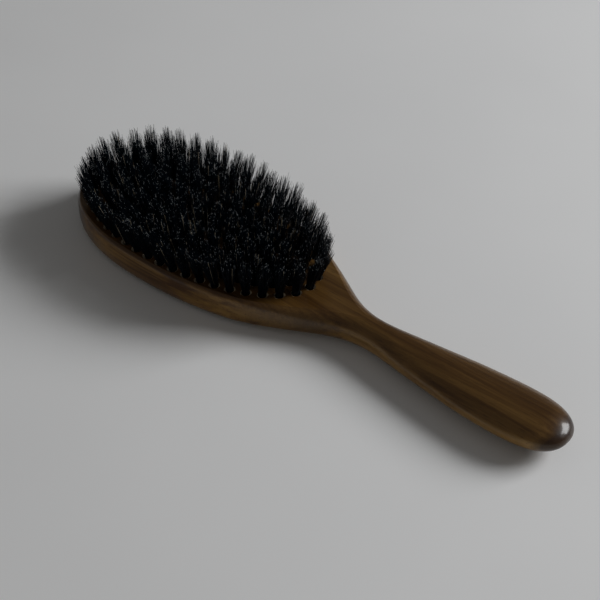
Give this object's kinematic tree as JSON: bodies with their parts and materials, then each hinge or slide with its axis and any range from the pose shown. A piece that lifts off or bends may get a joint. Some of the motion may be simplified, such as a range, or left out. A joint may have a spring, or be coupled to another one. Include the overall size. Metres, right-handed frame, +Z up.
{
  "type": "oval bristle hair brush",
  "caption": "Oval hair brush: one-piece lacquered wooden head and handle, with dark natural bristle tufts anchored in drilled holes.",
  "frame": {"origin": "on the resting plane, under the middle of the brush's box, with the brush lying on its back", "axes": "+X along the brush from the tip of the head to the end of the handle, +Y across it, +Z up out of the bristle face"},
  "size_m": [0.2198, 0.0626, 0.0288],
  "materials": {
    "walnut": "satin lacquer over fine dark grain",
    "bristle": "blue-black natural bristle with soft sheen, a few pale hairs",
    "anchor_wire": "drawn flat wire"
  },
  "bodies": {
    "root": {"bristle_tufts_middle_row": "bristle", "bristle_tufts_ring1_neck_left": "bristle", "bristle_tufts_ring1_neck_right": "bristle", "bristle_tufts_ring1_tip_left": "bristle", "bristle_tufts_ring1_tip_right": "bristle", "bristle_tufts_ring2_neck_left": "bristle", "bristle_tufts_ring2_neck_right": "bristle", "bristle_tufts_ring2_tip_left": "bristle", "bristle_tufts_ring2_tip_right": "bristle", "bristle_tufts_ring3_left": "bristle", "bristle_tufts_ring3_right": "bristle", "bristle_tufts_ring4_left": "bristle", "bristle_tufts_ring4_right": "bristle", "tuft_anchors_middle_row": "anchor_wire", "tuft_anchors_ring1_neck_left": "anchor_wire", "tuft_anchors_ring1_neck_right": "anchor_wire", "tuft_anchors_ring1_tip_left": "anchor_wire", "tuft_anchors_ring1_tip_right": "anchor_wire", "tuft_anchors_ring2_neck_left": "anchor_wire", "tuft_anchors_ring2_neck_right": "anchor_wire", "tuft_anchors_ring2_tip_left": "anchor_wire", "tuft_anchors_ring2_tip_right": "anchor_wire", "tuft_anchors_ring3_left": "anchor_wire", "tuft_anchors_ring3_right": "anchor_wire", "tuft_anchors_ring4_left": "anchor_wire", "tuft_anchors_ring4_right": "anchor_wire", "wooden_body": "walnut"}
  },
  "joints": []
}
